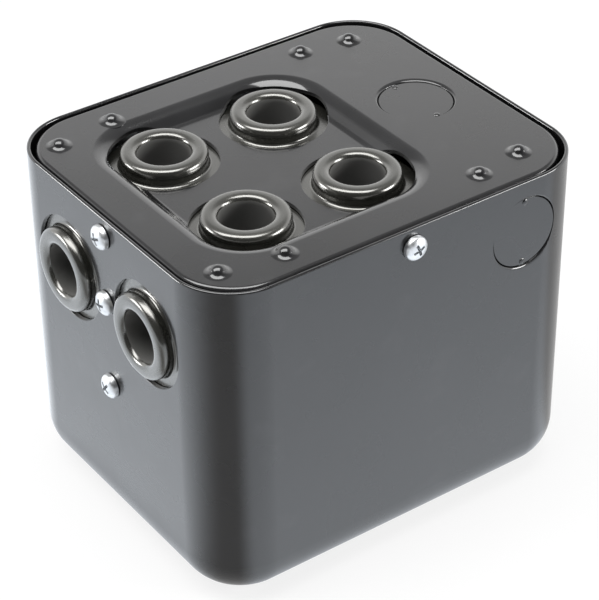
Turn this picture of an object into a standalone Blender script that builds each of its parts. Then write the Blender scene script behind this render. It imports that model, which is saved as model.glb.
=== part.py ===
# Surge protector in a drawn steel case: a can, a drop-in lid, six wire bushings and the circuit inside.
# Units are metres, +Z is up. The origin is the middle of the flat bottom.
# The front wall faces -Y, and the left wall, with two bushings, faces -X.
from math import cos
from math import pi
from math import sin

import bmesh
import bpy
from mathutils import Matrix

mm = 0.001

# Driving sizes of the can and the lid
case_width = 131 * mm
case_depth = 109 * mm
case_height = 109 * mm
wall = 1.2 * mm
side_flat = 71 * mm
bottom_step = 4.5 * mm
seat_gap = 0.3 * mm
lid_drop = 0.25 * mm
lid_sheet = 1.0 * mm
lid_side_gap = 0.7 * mm
lid_flange_height = 7.2 * mm
lid_edge_radius = 1.6 * mm
lid_corner_growth = 1.7 * mm

# The square well drawn into the lid, and the bushings in it
well_centre_x = -12.8 * mm
well_rim_x = 1.3 * mm
well_rim_y = 1.5 * mm
well_depth = 3.95 * mm
well_run = 4 * mm
well_side = 1.2 * mm
well_corner = 16 * mm
lid_bushing_pitch_x = 38.2 * mm
lid_bushing_pitch_y = 41.4 * mm
side_bushing_pitch = 40.3 * mm
side_bushing_below_rim = 27.4 * mm

# One wire bushing: its ring has a broad crown, and stands higher on the lid than on the wall
bore_radius = 7.7 * mm
ring_radius = 12.9 * mm
ring_half_height = 2.9 * mm
ring_neck = 0.5 * mm
lid_ring_height = 4.05 * mm
side_ring_height = 3.25 * mm
ring_hole_radius = 16.1 * mm
flange_cover = 1.6 * mm
bushing_flange = 2 * mm
tail_wall = 2.4 * mm
tail_length = 6 * mm

# Plates that hold the bushings from behind
retainer_sheet = 1.2 * mm
tail_gap = 0.6 * mm
lid_retainer_margin = 1.5 * mm
lid_retainer_foot_gap = 0.6 * mm
side_retainer_margin = 2.9 * mm
side_retainer_above = 14 * mm
side_retainer_below = 7.5 * mm

# Pressed domes on the lid: how far each pair is from the left or right wall, and from the lid's middle
dome_radius = 3.4 * mm
dome_height = 2.2 * mm
dome_left_inner = (30 * mm, 43 * mm)
dome_left_outer = (10.5 * mm, 40 * mm)
dome_right_inner = (33 * mm, 43.5 * mm)
dome_right_outer = (16.5 * mm, 41 * mm)

# Knockouts
knockout_radius = 11.1 * mm
knockout_gap = 0.25 * mm
knockout_sunk = 0.45 * mm
lid_knockout_inset = 22.3 * mm
front_knockout_inset = 25.5 * mm
front_knockout_below_rim = 17 * mm

# Screws: through the wall, on the terminals and on the board
wall_screw_head_radius = 3.7 * mm
wall_screw_head = 2.5 * mm
wall_screw_radius = 1.7 * mm
wall_screw_length = 7 * mm
lid_screw_below_rim = 6 * mm
side_screw_upper_below_rim = 28 * mm
side_screw_lower_below_rim = 57 * mm
screw_gap = 0.35 * mm
thread_gap = 0.15 * mm
small_head_radius = 2.8 * mm
small_head = 1.9 * mm
small_radius = 1.4 * mm
small_length = 6 * mm

# Clips that take the lid screws
clip_width = 11 * mm
clip_sheet = 1.4 * mm
clip_foot = 4 * mm
clip_reach = 3 * mm

# Circuit module
module_centre_x = -5 * mm
base_margin = 2 * mm
base_sheet = 1.5 * mm
insulator_margin = 1 * mm
insulator = 0.5 * mm
board = 1.6 * mm
standoff_inset = 6 * mm
standoff_radius = 3.2 * mm
standoff_height = 8 * mm
varistor_radius = 10 * mm
varistor_thickness = 5 * mm
varistor_lift = 2 * mm
varistor_pitch = 10 * mm
varistor_row = 26 * mm
varistor_start = 7 * mm
varistor_leg = 0.9 * mm
fuse_radius = 2.6 * mm
fuse_length = 14 * mm
fuse_pitch = 19 * mm
fuse_gap = 3.9 * mm
capacitor_width = 12 * mm
capacitor_depth = 26 * mm
capacitor_height = 18 * mm
capacitor_edge = 1 * mm
capacitor_gap = 5.4 * mm
block_width = 14 * mm
block_depth = 42 * mm
block_base = 8 * mm
block_height = 16 * mm
block_gap = 5 * mm
block_end = 3 * mm
head_gap = 1.2 * mm
barrier = 1.6 * mm
terminal_count = 4
terminal_place = 6 * mm
ground_gap = 6 * mm
ground_post_inset = 6 * mm

# Fineness of round shapes
round_steps = 28
screw_steps = 12
corner_steps = 7
edge_steps = 5

# How square the crown of a bushing's ring is: 1 is an oval, and less is squarer
ring_crown = 0.7

# Shape of a screw's head, as shares of its radius or height
head_shoulder = 0.35
recess_reach = 0.55
recess_width = 0.13
recess_floor = 0.45

# Sizes that follow from those above
corner_radius = (case_depth - side_flat) / 2
bottom_radius = corner_radius - bottom_step
lid_top = case_height - lid_drop
lid_under = lid_top - lid_sheet
lid_inset = wall + lid_side_gap
well_floor = lid_top - well_depth
ring_floor = well_floor - lid_sheet
well_size_x = lid_bushing_pitch_x + 2 * (ring_hole_radius + well_rim_x)
well_size_y = lid_bushing_pitch_y + 2 * (ring_hole_radius + well_rim_y)
bushing_flange_radius = ring_hole_radius + flange_cover
tail_radius = bore_radius + tail_wall
side_bushing_height = case_height - side_bushing_below_rim
side_screw_upper_height = case_height - side_screw_upper_below_rim
side_screw_lower_height = case_height - side_screw_lower_below_rim
side_retainer_width = side_bushing_pitch + 2 * (bushing_flange_radius + side_retainer_margin)
side_retainer_top = side_bushing_height + side_retainer_above
side_retainer_bottom = side_screw_lower_height - side_retainer_below
lid_knockout_x = case_width / 2 - lid_knockout_inset
front_knockout_x = case_width / 2 - front_knockout_inset
front_knockout_height = case_height - front_knockout_below_rim
lid_screw_height = case_height - lid_screw_below_rim
flange_bottom = lid_top - lid_flange_height
clip_inside = lid_inset + lid_sheet + seat_gap + clip_sheet
# The board is as long as its row of parts, and as deep as its block with a screw on each side
varistor_end = varistor_start + 2 * varistor_pitch + varistor_thickness / 2
fuse_place = varistor_end + fuse_gap + fuse_radius
capacitor_place = fuse_place + fuse_radius + capacitor_gap + capacitor_width / 2
block_place = capacitor_place + capacitor_width / 2 + block_gap + block_width / 2
board_width = block_place + block_width / 2 + block_end
board_depth = block_depth + 2 * (small_head_radius + head_gap + standoff_inset)
module_left = module_centre_x - board_width / 2
ground_x = module_left + board_width + ground_gap
base_left = module_left - base_margin
base_right = ground_x + ground_post_inset
base_depth = board_depth + 2 * base_margin
base_top = wall + seat_gap + base_sheet
board_low = base_top + seat_gap + standoff_height + seat_gap
board_top = board_low + board
lid_screw_names = ("front", "right", "rear", "left")


def clear_scene():
    for obj in list(bpy.data.objects):
        bpy.data.objects.remove(obj, do_unlink=True)


def new_collection(name, hidden):
    made = bpy.data.collections.new(name)
    made.hide_render = hidden
    bpy.context.scene.collection.children.link(made)
    return made


clear_scene()
parts = new_collection("surge_protector", False)
cutters = new_collection("cutters", True)


def new_material(name, colour, roughness, metallic):
    material = bpy.data.materials.new(name)
    material.use_nodes = True
    shader = material.node_tree.nodes["Principled BSDF"]
    shader.inputs["Base Color"].default_value = (*colour, 1)
    shader.inputs["Roughness"].default_value = roughness
    shader.inputs["Metallic"].default_value = metallic
    return material


black_paint = ("black_paint", (0.018, 0.018, 0.02), 0.35, 0)
black_moulding = ("black_moulding", (0.012, 0.012, 0.011), 0.2, 0)
zinc = ("zinc", (0.72, 0.74, 0.75), 0.3, 1)
plain_steel = ("plain_steel", (0.42, 0.43, 0.44), 0.4, 1)
fibre_sheet = ("fibre_sheet", (0.24, 0.2, 0.13), 0.7, 0)
board_green = ("board_green", (0.015, 0.13, 0.06), 0.45, 0)
varistor_blue = ("varistor_blue", (0.02, 0.09, 0.3), 0.45, 0)
fuse_brown = ("fuse_brown", (0.5, 0.45, 0.36), 0.5, 0)
capacitor_yellow = ("capacitor_yellow", (0.55, 0.42, 0.05), 0.45, 0)
terminal_black = ("terminal_black", (0.02, 0.02, 0.02), 0.5, 0)


def add_object(name, mesh, finish=None, place=(0, 0, 0), turn=None):
    obj = bpy.data.objects.new(name, mesh)
    obj.matrix_world = Matrix.Translation(place) @ (turn or Matrix())
    if finish is None:
        cutters.objects.link(obj)
        obj.hide_render = True
        obj.display_type = "WIRE"
        return obj
    mesh.materials.clear()
    mesh.materials.append(new_material(name, *finish[1:]))
    parts.objects.link(obj)
    return obj


def mesh_from(bm):
    bmesh.ops.recalc_face_normals(bm, faces=bm.faces)
    mesh = bpy.data.meshes.new("shape")
    bm.to_mesh(mesh)
    bm.free()
    return mesh


def bevel_edges(bm, chosen, radius, steps):
    edges = [edge for edge in bm.edges if chosen(edge)]
    bmesh.ops.bevel(bm, geom=edges, offset=radius, segments=steps, profile=0.5, affect="EDGES")


def upright(edge):
    return abs(edge.verts[0].co.z - edge.verts[1].co.z) > 0.1 * mm


def level_at(height):
    return lambda edge: all(abs(vert.co.z - height) < 1e-6 for vert in edge.verts)


# A box between two corners, with rounded upright edges and, if asked, rounded top or bottom edges
def box_mesh(low, high, corner=0, bottom=0, top=0):
    bm = bmesh.new()
    bmesh.ops.create_cube(bm, size=1)
    for vert in bm.verts:
        vert.co = [low[i] if vert.co[i] < 0 else high[i] for i in range(3)]
    if corner:
        bevel_edges(bm, upright, corner, corner_steps)
    if bottom:
        bevel_edges(bm, level_at(low[2]), bottom, edge_steps)
    if top:
        bevel_edges(bm, level_at(high[2]), top, edge_steps)
    return mesh_from(bm)


def cylinder_mesh(radius, low, high, steps=round_steps):
    bm = bmesh.new()
    middle = Matrix.Translation((0, 0, (low + high) / 2))
    bmesh.ops.create_cone(bm, cap_ends=True, segments=steps, radius1=radius, radius2=radius,
                          depth=high - low, matrix=middle)
    return mesh_from(bm)


# A round cap whose rim has the radius given at height 0, with a short root below it
def dome_mesh(radius, height, root):
    sphere = (radius ** 2 + height ** 2) / (2 * height)
    bm = bmesh.new()
    bmesh.ops.create_uvsphere(bm, u_segments=16, v_segments=14, radius=sphere)
    bmesh.ops.translate(bm, verts=bm.verts, vec=(0, 0, height - sphere))
    whole = bm.verts[:] + bm.edges[:] + bm.faces[:]
    bmesh.ops.bisect_plane(bm, geom=whole, plane_co=(0, 0, -root), plane_no=(0, 0, 1), clear_inner=True)
    bmesh.ops.holes_fill(bm, edges=[edge for edge in bm.edges if edge.is_boundary])
    return mesh_from(bm)


# An outline in the XY plane, raised by a thickness
def plate_mesh(outline, thickness):
    bm = bmesh.new()
    face = bm.faces.new([bm.verts.new((x, y, 0)) for x, y in outline])
    raised = bmesh.ops.extrude_face_region(bm, geom=[face])["geom"]
    lifted = [item for item in raised if isinstance(item, bmesh.types.BMVert)]
    bmesh.ops.translate(bm, verts=lifted, vec=(0, 0, thickness))
    return mesh_from(bm)


# A profile of (radius, height) points that runs down its outer side, turned about Z
def turned_object(name, profile, finish, steps, closed):
    bm = bmesh.new()
    points = [bm.verts.new((radius, 0, height)) for radius, height in profile]
    for first, second in zip(points, points[1:]):
        bm.edges.new((first, second))
    if closed:
        bm.edges.new((points[-1], points[0]))
    mesh = bpy.data.meshes.new("profile")
    bm.to_mesh(mesh)
    bm.free()
    obj = add_object(name, mesh, finish)
    screw = obj.modifiers.new("turn", "SCREW")
    screw.steps = steps
    screw.render_steps = steps
    screw.use_merge_vertices = True
    screw.merge_threshold = 0.00001
    screw.use_smooth_shade = True
    return obj


def combine(obj, other, operation):
    change = obj.modifiers.new(operation.lower(), "BOOLEAN")
    change.operation = operation
    change.solver = "EXACT"
    change.object = other


def cut(obj, mesh, place=(0, 0, 0), turn=None):
    combine(obj, add_object(obj.name + "_cut", mesh, None, place, turn), "DIFFERENCE")


def join(obj, mesh, place=(0, 0, 0), turn=None):
    combine(obj, add_object(obj.name + "_join", mesh, None, place, turn), "UNION")


# The finished mesh of an object, so that copies can share its shape
def finished_mesh(obj):
    bpy.context.view_layer.update()
    graph = bpy.context.evaluated_depsgraph_get()
    mesh = bpy.data.meshes.new_from_object(obj.evaluated_get(graph))
    bpy.data.objects.remove(obj, do_unlink=True)
    return mesh


def arc(centre, radius, start, end, steps):
    turns = [start + (end - start) * i / steps for i in range(steps + 1)]
    return [(centre[0] + radius * cos(t), centre[1] + radius * sin(t)) for t in turns]


# Turns the Z axis of a piece to point out of a wall: 0 front, 1 right, 2 rear, 3 left
def wall_turn(side):
    return Matrix.Rotation(side * pi / 2, 4, "Z") @ Matrix.Rotation(pi / 2, 4, "X")


def wall_place(side, along, height, out=0):
    reach = (case_width if side % 2 else case_depth) / 2 + out
    return Matrix.Rotation(side * pi / 2, 3, "Z") @ Matrix.Translation((along, -reach, height)).translation


lid_centres = {
    "front_left": (well_centre_x - lid_bushing_pitch_x / 2, -lid_bushing_pitch_y / 2),
    "front_right": (well_centre_x + lid_bushing_pitch_x / 2, -lid_bushing_pitch_y / 2),
    "rear_left": (well_centre_x - lid_bushing_pitch_x / 2, lid_bushing_pitch_y / 2),
    "rear_right": (well_centre_x + lid_bushing_pitch_x / 2, lid_bushing_pitch_y / 2),
}
# Along the left wall, +along runs towards the front
side_centres = {"front": side_bushing_pitch / 2, "rear": -side_bushing_pitch / 2}
side_screw_heights = {"upper": side_screw_upper_height, "lower": side_screw_lower_height}


def make_case_can():
    half_x = case_width / 2
    half_y = case_depth / 2
    shell = box_mesh((-half_x, -half_y, 0), (half_x, half_y, case_height), corner_radius, bottom_radius)
    can = add_object("case_can", shell, black_paint)
    inside = box_mesh((wall - half_x, wall - half_y, wall),
                      (half_x - wall, half_y - wall, case_height + wall),
                      corner_radius - wall, bottom_radius - wall)
    cut(can, inside)
    hole = cylinder_mesh(ring_hole_radius, -3 * wall, wall)
    for along in side_centres.values():
        cut(can, hole, wall_place(3, along, side_bushing_height), wall_turn(3))
    drilled = cylinder_mesh(wall_screw_radius + screw_gap, -3 * wall, wall, screw_steps)
    for side in range(4):
        cut(can, drilled, wall_place(side, 0, lid_screw_height), wall_turn(side))
    for height in side_screw_heights.values():
        cut(can, drilled, wall_place(3, 0, height), wall_turn(3))
    knocked = cylinder_mesh(knockout_radius + knockout_gap, -3 * wall, wall)
    cut(can, knocked, wall_place(0, front_knockout_x, front_knockout_height), wall_turn(0))


# The well's solid between two heights, grown outwards by the sheet where it makes the underside
def well_mesh(low, high, grown):
    slope = well_run / well_depth
    bm = bmesh.new()
    bmesh.ops.create_cube(bm, size=1)
    for vert in bm.verts:
        height = low if vert.co.z < 0 else high
        spread = slope * (height - lid_top) + grown
        side_x = 1 if vert.co.x > 0 else -1
        side_y = 1 if vert.co.y > 0 else -1
        vert.co.x = well_centre_x + side_x * (well_size_x / 2 + spread)
        vert.co.y = side_y * (well_size_y / 2 + spread)
        vert.co.z = height
    bevel_edges(bm, upright, well_corner, corner_steps)
    return mesh_from(bm)


def make_lid_cover():
    half_x = case_width / 2 - lid_inset
    half_y = case_depth / 2 - lid_inset
    radius = corner_radius - lid_inset + lid_corner_growth
    pan = box_mesh((-half_x, -half_y, flange_bottom), (half_x, half_y, lid_top), radius, 0, lid_edge_radius)
    lid = add_object("lid_cover", pan, black_paint)
    hollow = box_mesh((lid_sheet - half_x, lid_sheet - half_y, flange_bottom - lid_sheet),
                      (half_x - lid_sheet, half_y - lid_sheet, lid_under), radius - lid_sheet)
    cut(lid, hollow)
    join(lid, well_mesh(ring_floor, lid_top - lid_sheet / 2, well_side))
    cut(lid, well_mesh(well_floor, lid_top + lid_sheet, 0))
    dome = dome_mesh(dome_radius, dome_height, lid_sheet / 2)
    for inset, y in (dome_left_inner, dome_left_outer):
        for side in (-1, 1):
            join(lid, dome, (inset - case_width / 2, side * y, lid_top))
    for inset, y in (dome_right_inner, dome_right_outer):
        for side in (-1, 1):
            join(lid, dome, (case_width / 2 - inset, side * y, lid_top))
    hole = cylinder_mesh(ring_hole_radius, ring_floor - lid_sheet, lid_top + lid_sheet)
    for x, y in lid_centres.values():
        cut(lid, hole, (x, y, 0))
    knocked = cylinder_mesh(knockout_radius + knockout_gap, lid_under - lid_sheet, lid_top + lid_sheet)
    cut(lid, knocked, (lid_knockout_x, 0, 0))
    # Each screw has a slot that is open below, so that the lid lifts off its loosened screws
    slot_radius = wall_screw_radius + screw_gap
    slot_end = cylinder_mesh(slot_radius, -lid_inset - 2 * lid_sheet, 0, screw_steps)
    slot_low = flange_bottom - lid_screw_height - lid_sheet
    slot = box_mesh((-slot_radius, slot_low, -lid_inset - 2 * lid_sheet), (slot_radius, 0, 0))
    for side in range(4):
        cut(lid, slot_end, wall_place(side, 0, lid_screw_height), wall_turn(side))
        cut(lid, slot, wall_place(side, 0, lid_screw_height), wall_turn(side))
    # The flange stops short of the front knockout's opening
    relief = knockout_radius + 2 * lid_sheet
    relief_top = front_knockout_height + knockout_radius + lid_sheet - lid_screw_height
    opening = box_mesh((-relief, slot_low, -lid_inset - 2 * lid_sheet), (relief, relief_top, 0))
    cut(lid, opening, wall_place(0, front_knockout_x, lid_screw_height), wall_turn(0))


# A bushing with the sheet's outer face at height 0 and its rounded ring above it
def bushing_mesh(sheet, ring_height):
    lip = (ring_radius - bore_radius) / 2
    middle = ring_height - ring_half_height
    flange_top = -sheet - seat_gap
    flange_low = flange_top - bushing_flange
    profile = []
    for x, z in arc((0, 0), 1, pi, 0, 10):
        out = abs(x) ** ring_crown * (1 if x > 0 else -1)
        profile.append((bore_radius + lip + lip * out, middle + ring_half_height * max(z, 0) ** ring_crown))
    profile.append((ring_radius - ring_neck, flange_top))
    profile.append((bushing_flange_radius, flange_top))
    profile.append((bushing_flange_radius, flange_low))
    profile.append((tail_radius, flange_low))
    profile.append((tail_radius, flange_low - tail_length))
    profile.append((bore_radius, flange_low - tail_length))
    return finished_mesh(turned_object("bushing", profile, black_moulding, round_steps, True))


def make_bushings():
    for name, (x, y) in lid_centres.items():
        shape = bushing_mesh(lid_sheet, lid_ring_height)
        add_object("lid_bushing_" + name, shape, black_moulding, (x, y, well_floor))
    for name, along in side_centres.items():
        place = wall_place(3, along, side_bushing_height)
        shape = bushing_mesh(wall, side_ring_height)
        add_object("side_bushing_" + name, shape, black_moulding, place, wall_turn(3))


# A channel under the well: its web carries the bushings' flanges and its feet are welded under the lid
def make_lid_retainer():
    web_top = ring_floor - seat_gap - bushing_flange - seat_gap
    web_low = web_top - retainer_sheet
    foot_top = lid_under - seat_gap
    inner = well_size_y / 2 + well_side + seat_gap
    outer = inner + retainer_sheet
    foot = case_depth / 2 - clip_inside - lid_retainer_foot_gap
    half = [(foot, foot_top), (foot, foot_top - retainer_sheet), (outer, foot_top - retainer_sheet),
            (outer, web_low)]
    half_back = [(inner, web_top), (inner, foot_top)]
    mirror = [(-y, z) for y, z in reversed(half)]
    mirror_back = [(-y, z) for y, z in reversed(half_back)]
    outline = half + mirror + mirror_back + half_back
    length = lid_bushing_pitch_x + 2 * bushing_flange_radius + 2 * lid_retainer_margin
    turn = Matrix.Rotation(pi / 2, 4, "Z") @ Matrix.Rotation(pi / 2, 4, "X")
    start = (well_centre_x - length / 2, 0, 0)
    plate = add_object("lid_retainer", plate_mesh(outline, length), plain_steel, start, turn)
    passage = cylinder_mesh(tail_radius + tail_gap, web_low - retainer_sheet, web_top + retainer_sheet)
    for x, y in lid_centres.values():
        cut(plate, passage, (x, y, 0))


def make_side_retainer():
    outside = -wall - seat_gap - bushing_flange - seat_gap
    middle = side_bushing_height
    shape = box_mesh((-side_retainer_width / 2, side_retainer_bottom - middle, outside - retainer_sheet),
                     (side_retainer_width / 2, side_retainer_top - middle, outside))
    plate = add_object("side_retainer", shape, plain_steel, wall_place(3, 0, middle), wall_turn(3))
    passage = cylinder_mesh(tail_radius + tail_gap, outside - 2 * retainer_sheet, outside + retainer_sheet)
    for along in side_centres.values():
        cut(plate, passage, wall_place(3, along, middle), wall_turn(3))
    tapped = cylinder_mesh(wall_screw_radius + thread_gap, outside - 2 * retainer_sheet,
                           outside + retainer_sheet, screw_steps)
    for height in side_screw_heights.values():
        cut(plate, tapped, wall_place(3, 0, height), wall_turn(3))


# A domed head with a cross recess, seated a gap above height 0, and a shank below
def screw_mesh(head_radius, head, radius, length):
    shoulder = seat_gap + head * head_shoulder
    profile = [(0, seat_gap + head), (head_radius * 0.45, seat_gap + head * 0.95)]
    profile += [(head_radius * 0.8, seat_gap + head * 0.72), (head_radius, shoulder)]
    profile += [(head_radius, seat_gap), (radius, seat_gap), (radius, -length + radius / 2)]
    profile += [(radius / 2, -length), (0, -length)]
    screw = turned_object("screw", profile, zinc, screw_steps, False)
    arm = head_radius * recess_reach
    slot = head_radius * recess_width
    floor = seat_gap + head * recess_floor
    cut(screw, box_mesh((-arm, -slot, floor), (arm, slot, 2 * head)))
    cut(screw, box_mesh((-slot, -arm, floor), (slot, arm, 2 * head)))
    return finished_mesh(screw)


def wall_screw():
    return screw_mesh(wall_screw_head_radius, wall_screw_head, wall_screw_radius, wall_screw_length)


def small_screw():
    return screw_mesh(small_head_radius, small_head, small_radius, small_length)


def make_wall_screws():
    for side, name in enumerate(lid_screw_names):
        place = wall_place(side, 0, lid_screw_height)
        add_object("lid_screw_" + name, wall_screw(), zinc, place, wall_turn(side))
    for name, height in side_screw_heights.items():
        add_object("side_screw_" + name, wall_screw(), zinc, wall_place(3, 0, height), wall_turn(3))


# A stepped strap: its foot is on the wall and its upper leg stands behind the lid's flange
def make_lid_clips():
    wall_inside = -wall - seat_gap
    leg_outside = -lid_inset - lid_sheet - seat_gap
    leg_inside = -clip_inside
    foot_inside = wall_inside - clip_sheet
    step = flange_bottom - seat_gap - lid_screw_height
    low = step - clip_foot
    high = clip_reach
    outline = [(wall_inside, low), (wall_inside, step), (leg_outside, step), (leg_outside, high)]
    outline += [(leg_inside, high), (leg_inside, step - clip_sheet), (foot_inside, step - clip_sheet)]
    outline += [(foot_inside, low)]
    tapped = cylinder_mesh(wall_screw_radius + thread_gap, leg_inside - clip_sheet, leg_outside + seat_gap,
                           screw_steps)
    # The outline lies in the plane of the wall's outward axis and the height
    lay = Matrix(((0, 0, 1, -clip_width / 2), (0, 1, 0, 0), (-1, 0, 0, 0), (0, 0, 0, 1)))
    flipped = [(-out, height) for out, height in outline]
    for side, name in enumerate(lid_screw_names):
        place = wall_place(side, 0, lid_screw_height)
        clip = add_object("lid_clip_" + name, plate_mesh(flipped, clip_width), plain_steel, place,
                          wall_turn(side) @ lay)
        cut(clip, tapped, place, wall_turn(side))


# A slug whose origin is the outer edge at its tie, with the disc along +Y
def knockout_mesh(thickness):
    bm = bmesh.new()
    middle = Matrix.Translation((0, knockout_radius, -thickness / 2))
    bmesh.ops.create_cone(bm, cap_ends=True, segments=round_steps, radius1=knockout_radius,
                          radius2=knockout_radius, depth=thickness, matrix=middle)
    return mesh_from(bm)


def make_knockouts():
    tie = (lid_knockout_x, -knockout_radius, lid_top - knockout_sunk)
    add_object("lid_knockout", knockout_mesh(lid_sheet - knockout_sunk), black_paint, tie)
    tie = wall_place(0, front_knockout_x, front_knockout_height - knockout_radius, -knockout_sunk)
    add_object("front_knockout", knockout_mesh(wall - knockout_sunk), black_paint, tie, wall_turn(0))


def standoff_places():
    reach_x = board_width / 2 - standoff_inset
    reach_y = board_depth / 2 - standoff_inset
    return [(module_centre_x + x * reach_x, y * reach_y) for x in (-1, 1) for y in (-1, 1)]


def centred_box(width, depth, low, high):
    return box_mesh((module_centre_x - width / 2, -depth / 2, low),
                    (module_centre_x + width / 2, depth / 2, high))


def make_module_plates():
    base_low = wall + seat_gap
    half_y = base_depth / 2
    base = box_mesh((base_left, -half_y, base_low), (base_right, half_y, base_top))
    add_object("module_base", base, plain_steel)
    sheet_low = base_top + seat_gap
    sheet_shape = centred_box(board_width - 2 * insulator_margin, board_depth - 2 * insulator_margin,
                              sheet_low, sheet_low + insulator)
    sheet = add_object("insulating_sheet", sheet_shape, fibre_sheet)
    plate_shape = centred_box(board_width, board_depth, board_low, board_top)
    plate = add_object("circuit_board", plate_shape, board_green)
    post_hole = cylinder_mesh(standoff_radius + seat_gap, base_top, sheet_low + 2 * insulator, screw_steps)
    screw_hole = cylinder_mesh(small_radius + screw_gap, board_low - board, board_top + board, screw_steps)
    for x, y in standoff_places():
        cut(sheet, post_hole, (x, y, 0))
        cut(plate, screw_hole, (x, y, 0))


def standoff_mesh():
    post = add_object("standoff", cylinder_mesh(standoff_radius, 0, standoff_height, 6), zinc)
    cut(post, cylinder_mesh(small_radius + thread_gap, standoff_height - small_length, 2 * standoff_height,
                            screw_steps))
    return finished_mesh(post)


def make_standoffs():
    for number, (x, y) in enumerate(standoff_places(), 1):
        name = str(number)
        add_object("board_standoff_" + name, standoff_mesh(), zinc, (x, y, base_top + seat_gap))
        add_object("board_screw_" + name, small_screw(), zinc, (x, y, board_top))
    add_object("ground_post", standoff_mesh(), zinc, (ground_x, 0, base_top + seat_gap))
    add_object("ground_screw", small_screw(), zinc, (ground_x, 0, base_top + seat_gap + standoff_height))


# A disc standing on two legs, with its axis along X and its legs' feet at height 0
def varistor_mesh():
    edge = varistor_thickness / 4
    half = varistor_thickness / 2
    profile = [(0, half), (varistor_radius - edge, half), (varistor_radius, half - edge)]
    profile += [(varistor_radius, edge - half), (varistor_radius - edge, -half), (0, -half)]
    disc = turned_object("varistor", profile, varistor_blue, 24, False)
    raised = Matrix.Translation((0, 0, varistor_lift + varistor_radius))
    disc.matrix_world = raised @ Matrix.Rotation(pi / 2, 4, "Y")
    spread = varistor_radius / 3
    legs = (-spread, spread)
    half_leg = varistor_leg / 2
    leg = box_mesh((-half_leg, -half_leg, 0), (half_leg, half_leg, varistor_lift + varistor_radius / 2))
    for y in legs:
        join(disc, leg, (0, y, 0))
    world = disc.matrix_world.copy()
    mesh = finished_mesh(disc)
    mesh.transform(world)
    return mesh


def make_varistors():
    number = 0
    for y in (-varistor_row / 2, varistor_row / 2):
        for column in range(3):
            number += 1
            x = module_left + varistor_start + column * varistor_pitch
            place = (x, y, board_top + seat_gap)
            add_object("varistor_" + str(number), varistor_mesh(), varistor_blue, place)


def make_fuses():
    half = fuse_length / 2
    cap = fuse_length / 6
    waist = fuse_radius * 0.86
    profile = [(0, half), (fuse_radius, half), (fuse_radius, half - cap), (waist, half - cap)]
    profile += [(waist, cap - half), (fuse_radius, cap - half), (fuse_radius, -half), (0, -half)]
    for number in range(3):
        fuse = turned_object("fuse", profile, fuse_brown, screw_steps, False)
        place = (module_left + fuse_place, (number - 1) * fuse_pitch, board_top + seat_gap + fuse_radius)
        add_object("thermal_fuse_" + str(number + 1), finished_mesh(fuse), fuse_brown, place,
                   Matrix.Rotation(pi / 2, 4, "X"))


def make_capacitor():
    low = board_top + seat_gap
    x = module_left + capacitor_place
    shape = box_mesh((x - capacitor_width / 2, -capacitor_depth / 2, low),
                     (x + capacitor_width / 2, capacitor_depth / 2, low + capacitor_height),
                     capacitor_edge, 0, capacitor_edge)
    add_object("film_capacitor", shape, capacitor_yellow)


# A barrier strip: a base with a wall between each two terminals
def make_terminals():
    low = board_top + seat_gap
    left = module_left + block_place - block_width / 2
    right = left + block_width
    pitch = (block_depth - barrier) / terminal_count
    shape = box_mesh((left, -block_depth / 2, low), (right, block_depth / 2, low + block_height))
    block = add_object("terminal_block", shape, terminal_black)
    tapped = cylinder_mesh(small_radius + thread_gap, low + block_base - small_length,
                           low + block_base + small_length, screw_steps)
    for number in range(terminal_count):
        y = (number + 0.5) * pitch + barrier / 2 - block_depth / 2
        room = (pitch - barrier) / 2
        cut(block, box_mesh((left - barrier, y - room, low + block_base),
                            (right + barrier, y + room, low + block_height + barrier)))
        x = left + terminal_place
        cut(block, tapped, (x, y, 0))
        add_object("terminal_screw_" + str(number + 1), small_screw(), zinc, (x, y, low + block_base))


make_case_can()
make_lid_cover()
make_bushings()
make_lid_retainer()
make_side_retainer()
make_wall_screws()
make_lid_clips()
make_knockouts()
make_module_plates()
make_standoffs()
make_varistors()
make_fuses()
make_capacitor()
make_terminals()
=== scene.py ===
import bmesh
import bpy
import math
from mathutils import Euler, Matrix, Vector


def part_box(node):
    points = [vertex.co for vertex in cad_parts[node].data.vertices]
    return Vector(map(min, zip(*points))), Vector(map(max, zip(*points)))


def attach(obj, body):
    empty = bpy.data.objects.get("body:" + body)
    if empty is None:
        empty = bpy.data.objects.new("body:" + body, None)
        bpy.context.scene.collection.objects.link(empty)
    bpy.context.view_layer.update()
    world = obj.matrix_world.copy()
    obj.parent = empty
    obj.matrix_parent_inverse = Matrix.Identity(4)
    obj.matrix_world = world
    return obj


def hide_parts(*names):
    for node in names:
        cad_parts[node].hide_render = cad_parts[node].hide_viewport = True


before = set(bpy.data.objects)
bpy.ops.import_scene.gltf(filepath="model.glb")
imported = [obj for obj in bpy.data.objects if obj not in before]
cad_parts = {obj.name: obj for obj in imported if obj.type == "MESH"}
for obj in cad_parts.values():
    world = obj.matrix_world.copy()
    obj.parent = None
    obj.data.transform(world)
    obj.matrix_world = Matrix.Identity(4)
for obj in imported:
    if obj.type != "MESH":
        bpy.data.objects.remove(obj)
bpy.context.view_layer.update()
scene = bpy.context.scene
print("frame loaded:", len(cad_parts), "nodes")


# small helpers
def addObject(name, mesh):
    obj = bpy.data.objects.new(name, mesh)
    scene.collection.objects.link(obj)
    return obj


def meshFrom(bm, name):
    bmesh.ops.recalc_face_normals(bm, faces=bm.faces)
    mesh = bpy.data.meshes.new(name)
    bm.to_mesh(mesh)
    bm.free()
    return mesh


def freeze(obj):
    # modifiers become plain mesh
    bpy.context.view_layer.update()
    graph = bpy.context.evaluated_depsgraph_get()
    mesh = bpy.data.meshes.new_from_object(obj.evaluated_get(graph))
    obj.modifiers.clear()
    obj.data = mesh
    return obj


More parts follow.
